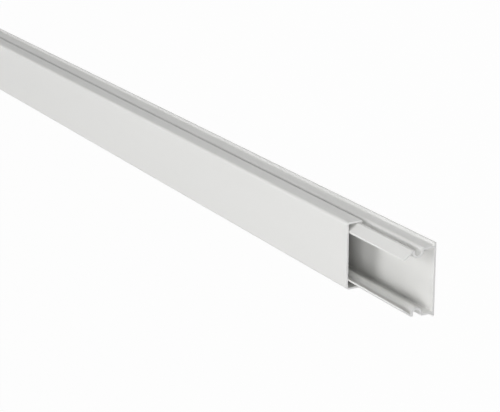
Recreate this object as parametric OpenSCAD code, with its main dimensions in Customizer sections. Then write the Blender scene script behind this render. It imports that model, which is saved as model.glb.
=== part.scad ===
// Cable trunking with a clip-in cover: an extruded base that is fixed to a wall by its flat back,
// and an extruded cover whose hooked legs clip into grooves in the base's side walls.
// The stick lies on its back: X runs along its length, Y across its width, Z out from the wall.
// The origin is the centre of the base's back face.

/* [Stock] */
// Length of the base and of the cover, one full stick of each
stock_len = 2000; // [300:10:3000]
// How far the cover is drawn back from the base's near end
cover_setback = 51; // [0:1:250]
// Depth of the closed trunking, from the back face to the cover's front
depth = 21; // [18:0.5:60]

/* [Back plate] */
// Width of the back plate from edge to edge
plate_w = 40; // [34:0.5:100]
// Thickness of the back plate
plate_t = 1.2; // [1:0.1:2]
// How far the back plate stands out past each side wall
plate_overhang = 1.6; // [1.6:0.1:4]
// Radius along the back plate's outer edges
plate_edge_r = 0.4; // [0.1:0.05:0.45]
// Radius of the hollow outside, between the back plate and a side wall
foot_r = 1.1; // [0.4:0.1:1.2]
// Radius of the hollow inside, between the back plate and a side wall
channel_r = 0.8; // [0.4:0.1:2]

/* [Side walls] */
// Thickness of the side walls and of the folded groove
wall_t = 1.2; // [0.9:0.1:1.6]
// Inner radius of the bend where a wall turns in to the groove
bend_r = 0.3; // [0.1:0.1:0.8]
// Radius of the clip groove
groove_r = 2.3; // [2:0.1:2.7]
// How far short of the groove's full width the catch shoulder stands
catch_cut = 0.4; // [0.3:0.1:0.8]
// Width of the flat edge on the catch shoulder, where the lip begins
catch_land = 1.5; // [0.8:0.1:1.6]
// Height of the lead-in lip, from the catch shoulder to its tip
lip_h = 6.6; // [5:0.1:7.6]
// Thickness of the lead-in lip
lip_t = 0.8; // [0.7:0.1:1.2]
// Lean of the lead-in lip towards the middle of the channel, in degrees
lip_lean = 38; // [30:1:42]

/* [Cover] */
// Thickness of the cover's front
cover_t = 1.2; // [0.9:0.1:1.6]
// Thickness of the cover's legs
leg_t = 0.9; // [0.7:0.1:1.1]
// How far the legs stand out past the base's side walls
leg_proud = 0.4; // [0.3:0.05:0.6]
// Outer radius of the cover's front corners
cover_corner_r = 2; // [1.8:0.1:3.5]
// Radius of the hook's nose
hook_nose_r = 0.4; // [0.3:0.05:0.5]
// Slope of the hook's underside from the leg, in degrees
hook_slope = 80; // [70:1:85]
// How far the hook reaches in from its leg
hook_reach = 1.4; // [1.2:0.05:1.8]
// Length of plain leg below the hook
leg_heel = 0.3; // [0.2:0.05:0.6]

/* [Fit] */
// Clearance wherever the cover runs along the base
run_clearance = 0.2; // [0.2:0.05:0.3]

/* [Hidden] */
$fn = 64;

plastic_grey = [0.87, 0.87, 0.86];
// Overlap that joins neighbouring shapes of one extrusion
join = 0.2;

// Across the width, measured from the middle
side_face = plate_w / 2 - plate_overhang;
wall_inside = side_face - wall_t;
bend_out_r = bend_r + wall_t;
groove_y = side_face - bend_out_r;
cover_side = side_face + leg_proud;
cover_inside = cover_side - leg_t;
lip_root_y = cover_inside - run_clearance;

// Out from the wall, measured from the back face
cover_ceiling = depth - cover_t;
lip_tip_z = cover_ceiling - run_clearance;
catch_z = lip_tip_z - lip_h;
lip_root_z = catch_z + catch_land;
lip_tip_y = lip_root_y - (lip_tip_z - lip_root_z) * tan(lip_lean);
groove_z = catch_z - (groove_r - catch_cut);
arch_r = groove_r + wall_t;
bend_z = groove_z - groove_r - bend_out_r;

// The hook's flat face runs just under the catch shoulder and ends in the round nose
hook_face_z = catch_z - run_clearance;
nose_z = hook_face_z - hook_nose_r;
nose_y = cover_inside - hook_reach + hook_nose_r;
// The underside leaves the nose at hook_slope and meets the leg's inside just above the leg's end
under_z = nose_z - hook_nose_r * sin(hook_slope);
under_y = nose_y - hook_nose_r * cos(hook_slope);
leg_end_z = underside(cover_inside) - leg_heel;

// Height of the hook's underside at y
function underside(y) = under_z - (y - under_y) / tan(hook_slope);

// Sections are drawn with Y to the right and Z up, and run along the length
module run_along(start) {
    translate([start, 0, 0])
        rotate([90, 0, 90])
            linear_extrude(height = stock_len)
                children();
}

module both_sides() {
    children();
    mirror([1, 0])
        children();
}

// Space between a square corner at [y, z] and an arc of radius r in the quadrant named by the
// two signs. Added to a shape it fills a hollow corner, and taken away it rounds a sharp one.
module corner_space(y, z, r, sign_y, sign_z) {
    difference() {
        translate([sign_y > 0 ? y - join : y - r, sign_z > 0 ? z - join : z - r])
            square(r + join);
        translate([y + sign_y * r, z + sign_z * r])
            circle(r);
    }
}

module back_plate() {
    difference() {
        translate([-plate_w / 2, 0])
            square([plate_w, plate_t]);
        both_sides() {
            corner_space(plate_w / 2, 0, plate_edge_r, -1, 1);
            corner_space(plate_w / 2, plate_t, plate_edge_r, -1, -1);
        }
    }
}

// Quarter of a ring about [y, z], between the +Y and the +Z direction
module quarter_ring(y, z, outer_r, t) {
    translate([y, z])
        intersection() {
            difference() {
                circle(outer_r);
                circle(outer_r - t);
            }
            square(outer_r);
        }
}

// Flat wall, its hollow corners at the back plate and its bend in to the groove
module side_wall() {
    translate([wall_inside, 0])
        square([wall_t, bend_z]);
    quarter_ring(groove_y, bend_z, bend_out_r, wall_t);
    corner_space(side_face, plate_t, foot_r, 1, 1);
    corner_space(wall_inside, plate_t, channel_r, -1, 1);
}

// The wall arches round the groove and ends in the catch shoulder, flush with the lip's outside
module groove_arch() {
    clear_w = arch_r + join;
    clear_h = arch_r + catch_z - groove_z;
    difference() {
        translate([groove_y, groove_z])
            circle(arch_r);
        intersection() {
            translate([groove_y, groove_z])
                circle(groove_r);
            translate([groove_y - groove_r, catch_z - 2 * groove_r])
                square(2 * groove_r);
        }
        translate([groove_y, catch_z - clear_h])
            square([clear_w, clear_h]);
        polygon([
            [lip_root_y, groove_z],
            [lip_root_y + clear_w, groove_z],
            [lip_root_y + clear_w, lip_tip_z],
            [lip_tip_y, lip_tip_z],
            [lip_root_y, lip_root_z]
        ]);
    }
}

// Thin lip that leads the cover's hook over the shoulder, with its root down in the shoulder
module lead_in_lip() {
    lip_w = lip_t / cos(lip_lean);
    polygon([
        [lip_root_y, catch_z + join],
        [lip_root_y, lip_root_z],
        [lip_tip_y, lip_tip_z],
        [lip_tip_y - lip_w, lip_tip_z],
        [lip_root_y - lip_w, lip_root_z],
        [lip_root_y - lip_w, catch_z + join]
    ]);
}

module trunking_base() {
    color(plastic_grey)
        run_along(-stock_len / 2) {
            back_plate();
            both_sides() {
                side_wall();
                groove_arch();
                lead_in_lip();
            }
        }
}

// Front and two legs of the cover, with rounded corners outside and hollow ones inside
module cover_channel() {
    difference() {
        translate([-cover_side, leg_end_z])
            square([2 * cover_side, depth - leg_end_z]);
        translate([-cover_inside, leg_end_z - join])
            square([2 * cover_inside, cover_ceiling - leg_end_z + join]);
        both_sides()
            corner_space(cover_side, depth, cover_corner_r, -1, -1);
    }
    both_sides()
        corner_space(cover_inside, cover_ceiling, cover_corner_r - cover_t, -1, -1);
}

// Barb on the inside of a leg: a flat face for the catch shoulder, a sloped underside, a round nose
module cover_hook() {
    root_y = cover_inside + join;
    barb_y = under_y - (hook_face_z - under_z) * tan(hook_slope);
    nose_space = 3 * hook_nose_r;
    difference() {
        polygon([
            [root_y, underside(root_y)],
            [root_y, hook_face_z],
            [barb_y, hook_face_z]
        ]);
        difference() {
            polygon([
                [nose_y, nose_z],
                [nose_y, nose_z + nose_space],
                [barb_y - nose_space, hook_face_z],
                [nose_y - nose_space * cos(hook_slope), nose_z - nose_space * sin(hook_slope)]
            ]);
            translate([nose_y, nose_z])
                circle(hook_nose_r);
        }
    }
}

module trunking_cover() {
    color(plastic_grey)
        run_along(-stock_len / 2 - cover_setback) {
            cover_channel();
            both_sides()
                cover_hook();
        }
}

trunking_base();
trunking_cover();
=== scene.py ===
"""Cable trunking on its back: an extruded base, and a clip-in cover drawn back at the open end."""
import math

import bmesh
import bpy
from mathutils import Matrix, Vector


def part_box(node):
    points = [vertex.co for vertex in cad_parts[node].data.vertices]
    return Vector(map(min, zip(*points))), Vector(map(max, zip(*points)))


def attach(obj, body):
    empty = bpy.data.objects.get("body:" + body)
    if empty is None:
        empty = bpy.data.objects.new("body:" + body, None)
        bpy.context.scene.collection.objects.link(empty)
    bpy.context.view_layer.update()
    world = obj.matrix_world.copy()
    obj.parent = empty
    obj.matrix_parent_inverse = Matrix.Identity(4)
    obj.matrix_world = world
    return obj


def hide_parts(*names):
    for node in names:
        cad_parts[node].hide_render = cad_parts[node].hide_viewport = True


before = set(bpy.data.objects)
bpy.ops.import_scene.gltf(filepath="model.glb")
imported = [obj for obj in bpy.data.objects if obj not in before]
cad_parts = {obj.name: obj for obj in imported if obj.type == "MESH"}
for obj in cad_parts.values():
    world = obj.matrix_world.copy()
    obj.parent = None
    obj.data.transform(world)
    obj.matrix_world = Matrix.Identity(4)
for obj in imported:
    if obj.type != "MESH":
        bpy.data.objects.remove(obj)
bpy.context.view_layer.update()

MM = 0.001
QUARTER = math.pi / 2

# Sizes that the frame gives, in metres
base_low, base_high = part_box("trunking_base")
cover_low, cover_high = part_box("trunking_cover")
plate_edge_y = base_high.y
lip_tip_z = base_high.z
cover_side = cover_high.y
leg_end_z = cover_low.z
front_z = cover_high.z

# Back plate: thickness, overhang, rounded edges, and the hollows where the side walls stand on it
plate_t = 1.2 * MM
plate_overhang = 1.6 * MM
plate_edge_r = 0.4 * MM
foot_r = 1.1 * MM
channel_r = 0.8 * MM

# Side walls: thickness, bend in to the groove, groove, catch shoulder and lead-in lip
wall_t = 1.2 * MM
bend_r = 0.3 * MM
groove_r = 2.3 * MM
catch_cut = 0.4 * MM
catch_land = 1.5 * MM
lip_h = 6.6 * MM
lip_t = 0.8 * MM
lip_lean = math.radians(38)

# Cover: thickness of front and legs, front corners and the hook inside each leg
cover_t = 1.2 * MM
leg_t = 0.9 * MM
cover_corner_r = 2.0 * MM
hook_nose_r = 0.4 * MM
hook_slope = math.radians(80)
hook_reach = 1.4 * MM

# Small roundings that the die and the saw leave, too fine for the solids
die_edge_r = 0.15 * MM
die_hollow_r = 0.2 * MM
sawn_edge = 0.08 * MM

# Places worked out across the width (y) and out from the wall (z)
side_face = plate_edge_y - plate_overhang
wall_inside = side_face - wall_t
bend_out_r = bend_r + wall_t
groove_y = side_face - bend_out_r
cover_inside = cover_side - leg_t
ceiling_z = front_z - cover_t
run_clearance = ceiling_z - lip_tip_z
lip_root_y = cover_inside - run_clearance
catch_z = lip_tip_z - lip_h
lip_root_z = catch_z + catch_land
lip_tip_y = lip_root_y - (lip_tip_z - lip_root_z) * math.tan(lip_lean)
lip_across = lip_t / math.cos(lip_lean)
groove_z = catch_z - (groove_r - catch_cut)
arch_r = groove_r + wall_t
bend_z = groove_z - groove_r - bend_out_r
hook_face_z = catch_z - run_clearance
nose_z = hook_face_z - hook_nose_r
nose_y = cover_inside - hook_reach + hook_nose_r

# How finely a section is drawn: degrees of arc per edge, the fewest edges of a rounded corner,
# and the length between its cross sections
ARC_STEP = 5
FEWEST_EDGES = 3
STRETCH = 0.1

# How near points lie to be merged at the mirror plane, and to count as part of an end
MERGE_GAP = sawn_edge / 10
END_GAP = sawn_edge / 2

# Faces that meet at less than this angle are shaded as one round
ROUND_ANGLE = math.radians(30)

PVC_IOR = 1.52
WHITE = (1, 1, 1, 1)


class SectionPen:
    """Draws one half of a section in edit mode.

    A vertex is led along lines by extrude and round arcs by spin.
    """

    def __init__(self, name, x, y, z):
        bpy.ops.object.select_all(action="DESELECT")
        bpy.ops.mesh.primitive_plane_add(size=wall_t, location=(x, y, z))
        bpy.ops.object.transform_apply(location=True, rotation=False, scale=False)
        self.piece = bpy.context.object
        self.piece.name = name
        bpy.ops.object.mode_set(mode="EDIT")
        bpy.ops.mesh.merge(type="CENTER")
        self.x = x
        self.place = Vector((y, z))

    def line_to(self, y, z):
        step = Vector((y, z)) - self.place
        bpy.ops.mesh.extrude_region_move(TRANSFORM_OT_translate={"value": (0, step.x, step.y)})
        self.place = Vector((y, z))

    def arc_about(self, y, z, turn):
        """Goes round the point by an angle, positive from +Y to +Z. Spin counts the other way."""
        steps = round(abs(math.degrees(turn)) / ARC_STEP)
        bpy.ops.mesh.spin(steps=steps, angle=-turn, center=(self.x, y, z), axis=(1, 0, 0))
        centre = Vector((y, z))
        self.place = centre + Matrix.Rotation(turn, 2) @ (self.place - centre)

    def round_corner(self, y, z, radius):
        """Rounds the drawn corner nearest to the point, sharp or hollow, to a radius."""
        mesh = bmesh.from_edit_mesh(self.piece.data)
        corner = min(mesh.verts, key=lambda vertex: (vertex.co.yz - Vector((y, z))).length)
        bpy.ops.mesh.select_all(action="DESELECT")
        corner.select_set(True)
        bmesh.update_edit_mesh(self.piece.data)
        sides = [edge.other_vert(corner).co.yz - corner.co.yz for edge in corner.link_edges]
        opening = sides[0].angle(sides[1])
        steps = max(FEWEST_EDGES, round(math.degrees(math.pi - opening) / ARC_STEP))
        bpy.ops.mesh.bevel(
            affect="VERTICES", offset=radius / math.tan(opening / 2), segments=steps, profile=0.5
        )

    def run_to(self, x):
        """Runs the half section along the stick, then mirrors it to the other side."""
        stretches = round((x - self.x) / STRETCH)
        bpy.ops.mesh.select_all(action="SELECT")
        for _ in range(stretches):
            bpy.ops.mesh.extrude_region_move(
                TRANSFORM_OT_translate={"value": ((x - self.x) / stretches, 0, 0)}
            )
        bpy.ops.object.mode_set(mode="OBJECT")
        mirror = self.piece.modifiers.new("other_side", "MIRROR")
        mirror.use_axis = (False, True, False)
        mirror.merge_threshold = MERGE_GAP
        bpy.ops.object.modifier_apply(modifier=mirror.name)
        return self.piece


def select_end(elements, end_x):
    """Selects those of a mesh's edges or faces that lie in the plane of an end."""
    for element in elements:
        element.select_set(all(abs(vertex.co.x - end_x) < END_GAP for vertex in element.verts))


def saw_ends(piece, low_x, high_x, finish):
    """Closes both ends with a sawn face that has a fine chamfer all round."""
    bpy.ops.object.mode_set(mode="EDIT")
    mesh = bmesh.from_edit_mesh(piece.data)
    for end_x in (low_x, high_x):
        bpy.ops.mesh.select_all(action="DESELECT")
        select_end(mesh.edges, end_x)
        bmesh.update_edit_mesh(piece.data)
        bpy.ops.mesh.edge_face_add()
    bpy.ops.mesh.select_all(action="SELECT")
    bpy.ops.mesh.normals_make_consistent(inside=False)
    for end_x in (low_x, high_x):
        bpy.ops.mesh.select_all(action="DESELECT")
        mesh = bmesh.from_edit_mesh(piece.data)
        select_end(mesh.faces, end_x)
        bmesh.update_edit_mesh(piece.data)
        bpy.ops.mesh.inset(thickness=sawn_edge, depth=sawn_edge)
        piece.active_material_index = piece.data.materials.find(finish.name)
        bpy.ops.object.material_slot_assign()
    bpy.ops.object.mode_set(mode="OBJECT")


def smooth_rounds(piece):
    """Smooth rounds, crisp edges, and flats that keep their own normals."""
    bpy.ops.object.shade_smooth_by_angle(angle=ROUND_ANGLE)
    weighted = piece.modifiers.new("flat_flats", "WEIGHTED_NORMAL")
    weighted.keep_sharp = True
    bpy.ops.object.modifier_apply(modifier=weighted.name)


def draw_base():
    """The base: back plate, side walls that fold in round a groove, catch shoulders and lips."""
    pen = SectionPen("base_extrusion", base_low.x + sawn_edge, 0, 0)
    pen.line_to(plate_edge_y, 0)
    pen.line_to(plate_edge_y, plate_t)
    pen.line_to(side_face, plate_t)
    pen.line_to(side_face, bend_z)
    pen.arc_about(groove_y, bend_z, QUARTER)
    pen.arc_about(groove_y, groove_z, -QUARTER - math.asin((catch_z - groove_z) / groove_r))
    catch_y = pen.place.x
    pen.line_to(lip_root_y, catch_z)
    pen.line_to(lip_root_y, lip_root_z)
    pen.line_to(lip_tip_y, lip_tip_z)
    pen.line_to(lip_tip_y - lip_across, lip_tip_z)
    # The lip's inner face runs at this distance from the groove's centre, and ends on the arch
    arch_centre = Vector((groove_y, groove_z))
    across_lip = Vector((math.cos(lip_lean), math.sin(lip_lean)))
    inner_face = across_lip.dot(Vector((lip_root_y - groove_y, lip_root_z - groove_z))) - lip_t
    foot_angle = lip_lean + math.acos(inner_face / arch_r)
    lip_foot = arch_centre + arch_r * Vector((math.cos(foot_angle), math.sin(foot_angle)))
    pen.line_to(lip_foot.x, lip_foot.y)
    pen.arc_about(groove_y, groove_z, 3 * QUARTER - foot_angle)
    pen.arc_about(groove_y, bend_z, -QUARTER)
    pen.line_to(wall_inside, plate_t)
    pen.line_to(0, plate_t)
    pen.round_corner(plate_edge_y, 0, plate_edge_r)
    pen.round_corner(plate_edge_y, plate_t, plate_edge_r)
    pen.round_corner(side_face, plate_t, foot_r)
    pen.round_corner(wall_inside, plate_t, channel_r)
    pen.round_corner(catch_y, catch_z, die_hollow_r)
    pen.round_corner(lip_foot.x, lip_foot.y, die_hollow_r)
    pen.round_corner(lip_root_y, catch_z, die_edge_r)
    pen.round_corner(lip_root_y, lip_root_z, die_edge_r)
    pen.round_corner(lip_tip_y, lip_tip_z, die_edge_r)
    pen.round_corner(lip_tip_y - lip_across, lip_tip_z, die_edge_r)
    return pen.run_to(base_high.x - sawn_edge)


def draw_cover():
    """The cover: flat front, legs with rounded corners and a hook inside each leg."""
    under_y = nose_y - hook_nose_r * math.cos(hook_slope)
    under_z = nose_z - hook_nose_r * math.sin(hook_slope)
    heel_z = under_z - (cover_inside - under_y) / math.tan(hook_slope)
    pen = SectionPen("cover_extrusion", cover_low.x + sawn_edge, 0, front_z)
    pen.line_to(cover_side, front_z)
    pen.line_to(cover_side, leg_end_z)
    pen.line_to(cover_inside, leg_end_z)
    pen.line_to(cover_inside, heel_z)
    pen.line_to(under_y, under_z)
    pen.arc_about(nose_y, nose_z, -QUARTER - hook_slope)
    pen.line_to(cover_inside, hook_face_z)
    pen.line_to(cover_inside, ceiling_z)
    pen.line_to(0, ceiling_z)
    pen.round_corner(cover_side, front_z, cover_corner_r)
    pen.round_corner(cover_inside, ceiling_z, cover_corner_r - cover_t)
    pen.round_corner(cover_side, leg_end_z, die_edge_r)
    pen.round_corner(cover_inside, leg_end_z, die_edge_r)
    pen.round_corner(cover_inside, heel_z, die_edge_r)
    pen.round_corner(cover_inside, hook_face_z, die_hollow_r)
    return pen.run_to(cover_high.x - sawn_edge)


class Wire:
    """A number on its way through a material. Arithmetic on it adds Math nodes."""

    def __init__(self, finish, socket):
        self.finish = finish
        self.socket = socket

    def math(self, operation, first, second):
        return self.finish.add("ShaderNodeMath", {0: first, 1: second}, operation=operation)

    def __add__(self, other):
        return self.math("ADD", self, other)

    def __radd__(self, other):
        return self.math("ADD", other, self)

    def __sub__(self, other):
        return self.math("SUBTRACT", self, other)

    def __rsub__(self, other):
        return self.math("SUBTRACT", other, self)

    def __mul__(self, other):
        return self.math("MULTIPLY", self, other)

    def __rmul__(self, other):
        return self.math("MULTIPLY", other, self)

    def or_more(self, other):
        return self.math("MAXIMUM", self, other)


class Finish:
    """A node tree under construction, of a material or of the world."""

    def __init__(self, owner):
        owner.use_nodes = True
        self.owner = owner
        self.tree = owner.node_tree
        self.tree.nodes.clear()

    def add(self, kind, sockets=None, output=0, **settings):
        """Adds a node: its settings, then the values or wires of its sockets. Gives one output."""
        node = self.tree.nodes.new(kind)
        for name, value in settings.items():
            setattr(node, name, value)
        for key, value in (sockets or {}).items():
            if isinstance(value, Wire):
                self.tree.links.new(value.socket, node.inputs[key])
            else:
                node.inputs[key].default_value = value
        return Wire(self, node.outputs[output]) if len(node.outputs) else None

    def noise(self, scale, detail):
        """Noise on the piece's own coordinates, with a scale in features per metre on each axis."""
        place = self.add("ShaderNodeTexCoord", output="Object")
        stretched = self.add("ShaderNodeMapping", {"Vector": place, "Scale": scale})
        return self.add(
            "ShaderNodeTexNoise", {"Vector": stretched, "Scale": 1.0, "Detail": detail}
        )

    def blend(self, share, first, second):
        """Mixes two colours. The colour sockets go by number, because others have their names."""
        return self.add(
            "ShaderNodeMix", {0: share, 6: first, 7: second}, output=2, data_type="RGBA"
        )

    def end_as_pvc(self, colour, roughness, height, strength, depth):
        """Ends a material as PVC, with the height as bump of a strength and depth."""
        normal = self.add(
            "ShaderNodeBump", {"Strength": strength, "Distance": depth, "Height": height}
        )
        surface = self.add(
            "ShaderNodeBsdfPrincipled",
            {"Base Color": colour, "Roughness": roughness, "Normal": normal, "IOR": PVC_IOR},
        )
        self.add("ShaderNodeOutputMaterial", {"Surface": surface})
        return self.owner


def extruded_pvc(name):
    """Satin light-grey PVC from the die: faint lines along the stick, soft changes of tone."""
    deeper, paler = (0.765, 0.765, 0.748, 1), (0.795, 0.795, 0.780, 1)
    least_rough, rough_range = 0.42, 0.12
    line_share, skin_share = 0.7, 0.3
    finish = Finish(bpy.data.materials.new(name))
    die_lines = finish.noise(scale=(0.5, 900, 900), detail=3)
    skin = finish.noise(scale=(350, 500, 500), detail=2)
    tone = finish.noise(scale=(5, 40, 40), detail=2)
    return finish.end_as_pvc(
        colour=finish.blend(tone, deeper, paler),
        roughness=least_rough + die_lines * rough_range,
        height=die_lines * line_share + skin * skin_share,
        strength=0.25,
        depth=0.02 * MM,
    )


def sawn_pvc(name):
    """A sawn end: rougher and a little paler, with the arcs that the blade's teeth leave."""
    deeper, paler = (0.775, 0.775, 0.770, 1), (0.835, 0.835, 0.830, 1)
    least_rough, rough_range = 0.62, 0.15
    arc_share, grit_share = 0.6, 0.4
    blade_centre = (0, -90 * MM, 60 * MM)
    arcs_per_metre = 3500.0
    finish = Finish(bpy.data.materials.new(name))
    place = finish.add("ShaderNodeTexCoord", output="Object")
    in_cut = finish.add("ShaderNodeVectorMath", {0: place, 1: (0, 1, 1)}, operation="MULTIPLY")
    from_blade = finish.add(
        "ShaderNodeVectorMath", {0: in_cut, 1: blade_centre}, output="Value", operation="DISTANCE"
    )
    arcs = finish.add(
        "ShaderNodeTexNoise", {"W": from_blade, "Scale": arcs_per_metre}, noise_dimensions="1D"
    )
    grit = finish.noise(scale=(900, 900, 900), detail=3)
    return finish.end_as_pvc(
        colour=finish.blend(arcs, deeper, paler),
        roughness=least_rough + grit * rough_range,
        height=arcs * arc_share + grit * grit_share,
        strength=0.5,
        depth=0.04 * MM,
    )


def make_pieces():
    """Both extrusions, finished, riding on their bodies in place of the plain solids."""
    sawn = sawn_pvc("sawn_pvc_end")
    for draw, node, body, slot, low, high in (
        (draw_base, "trunking_base", "base", "base_pvc", base_low, base_high),
        (draw_cover, "trunking_cover", "cover", "cover_pvc", cover_low, cover_high),
    ):
        piece = draw()
        piece.data.materials.append(extruded_pvc(piece.name + "_pvc"))
        piece.data.materials.append(sawn)
        saw_ends(piece, low.x + sawn_edge, high.x - sawn_edge, sawn)
        smooth_rounds(piece)
        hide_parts(node)
        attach(piece, body)


def seen_white(finish):
    """1 for what is seen, straight, mirrored or through glass, and 0 for light on the part."""
    seen = finish.add("ShaderNodeLightPath", output="Is Camera Ray")
    mirrored = finish.add("ShaderNodeLightPath", output="Is Glossy Ray")
    through = finish.add("ShaderNodeLightPath", output="Is Transmission Ray")
    return seen.or_more(mirrored.or_more(through))


def lay_floor():
    """A plain pale floor that shows as white and keeps a faint shadow of the part."""
    floor_size = 40
    gap_below = 0.05 * MM
    white_share = 0.97
    bpy.ops.object.select_all(action="DESELECT")
    bpy.ops.mesh.primitive_plane_add(size=floor_size, location=(0, 0, -gap_below))
    floor = bpy.context.object
    floor.name = "studio_floor"
    finish = Finish(bpy.data.materials.new("white_floor"))
    paper = finish.add("ShaderNodeBsdfDiffuse", {"Color": (0.5, 0.5, 0.5, 1)})
    glow = finish.add("ShaderNodeEmission", {"Color": WHITE, "Strength": 1.0})
    shown = finish.add(
        "ShaderNodeMixShader", {0: seen_white(finish) * white_share, 1: paper, 2: glow}
    )
    finish.add("ShaderNodeOutputMaterial", {"Surface": shown})
    floor.data.materials.append(finish.owner)


def light_studio():
    """A dim white room and six soft lamps: four round the open end, two along the far half."""
    finish = Finish(bpy.context.scene.world or bpy.data.worlds.new("studio"))
    bpy.context.scene.world = finish.owner
    # The room lights the part, the backdrop is what is seen, and a strength of 1 is white
    room = finish.add("ShaderNodeBackground", {"Color": WHITE, "Strength": 0.02})
    backdrop = finish.add("ShaderNodeBackground", {"Color": WHITE, "Strength": 1.0})
    shown = finish.add("ShaderNodeMixShader", {0: seen_white(finish), 1: room, 2: backdrop})
    finish.add("ShaderNodeOutputWorld", {"Surface": shown})

    # Place and target are metres from the open end, the spread is in degrees
    open_end = Vector((base_high.x, 0, 0))
    for name, place, target, length, width, spread, watts in (
        ("end_lamp", (1.92, 0, 1.73), (0, 0, 0), 1.3, 1.3, 180, 38.0),
        ("top_lamp", (-0.1, 0.3, 1.5), (-0.1, 0, 0), 0.8, 0.8, 180, 8.8),
        ("back_lamp", (-0.58, -1.0, 1.38), (0, 0, 0), 0.8, 0.8, 180, 5.0),
        ("side_lamp", (0.42, 1.16, 0.4), (0, 0, 0), 0.5, 0.5, 180, 4.7),
        ("far_lamp", (-1.7, 0.4, 0.9), (-1.7, 0, 0), 1.3, 0.25, 180, 4.4),
        ("tail_lamp", (-2.5, -0.9, 0.6), (-2.05, 0, 0), 0.5, 0.5, 60, 0.8),
    ):
        away = Vector(place) - Vector(target)
        bpy.ops.object.light_add(
            type="AREA",
            location=open_end + Vector(place),
            rotation=away.to_track_quat("Z", "Y").to_euler(),
        )
        lamp = bpy.context.object
        lamp.name = name
        lamp.data.shape = "RECTANGLE"
        lamp.data.size = length
        lamp.data.size_y = width
        lamp.data.spread = math.radians(spread)
        lamp.data.energy = watts


def place_camera():
    """The photograph's view: before the open end, with the stick's width upright in the picture."""
    spot = Vector((1.64149, 0.29142, 0.46334))
    look = Vector((-0.83273, -0.30545, -0.46180)).normalized()
    upright = Vector((0.00489, 1, 0))
    right = look.cross(upright).normalized()
    up = right.cross(look)
    turned = Matrix((right, up, -look)).transposed()
    bpy.ops.object.camera_add(location=spot, rotation=turned.to_euler())
    camera = bpy.context.object
    camera.name = "photo_camera"
    camera.data.lens = 118.58
    camera.data.sensor_width = 36
    camera.data.clip_start = 0.01
    bpy.context.scene.camera = camera


make_pieces()
lay_floor()
light_studio()
place_camera()
bpy.context.scene.view_settings.view_transform = "Standard"
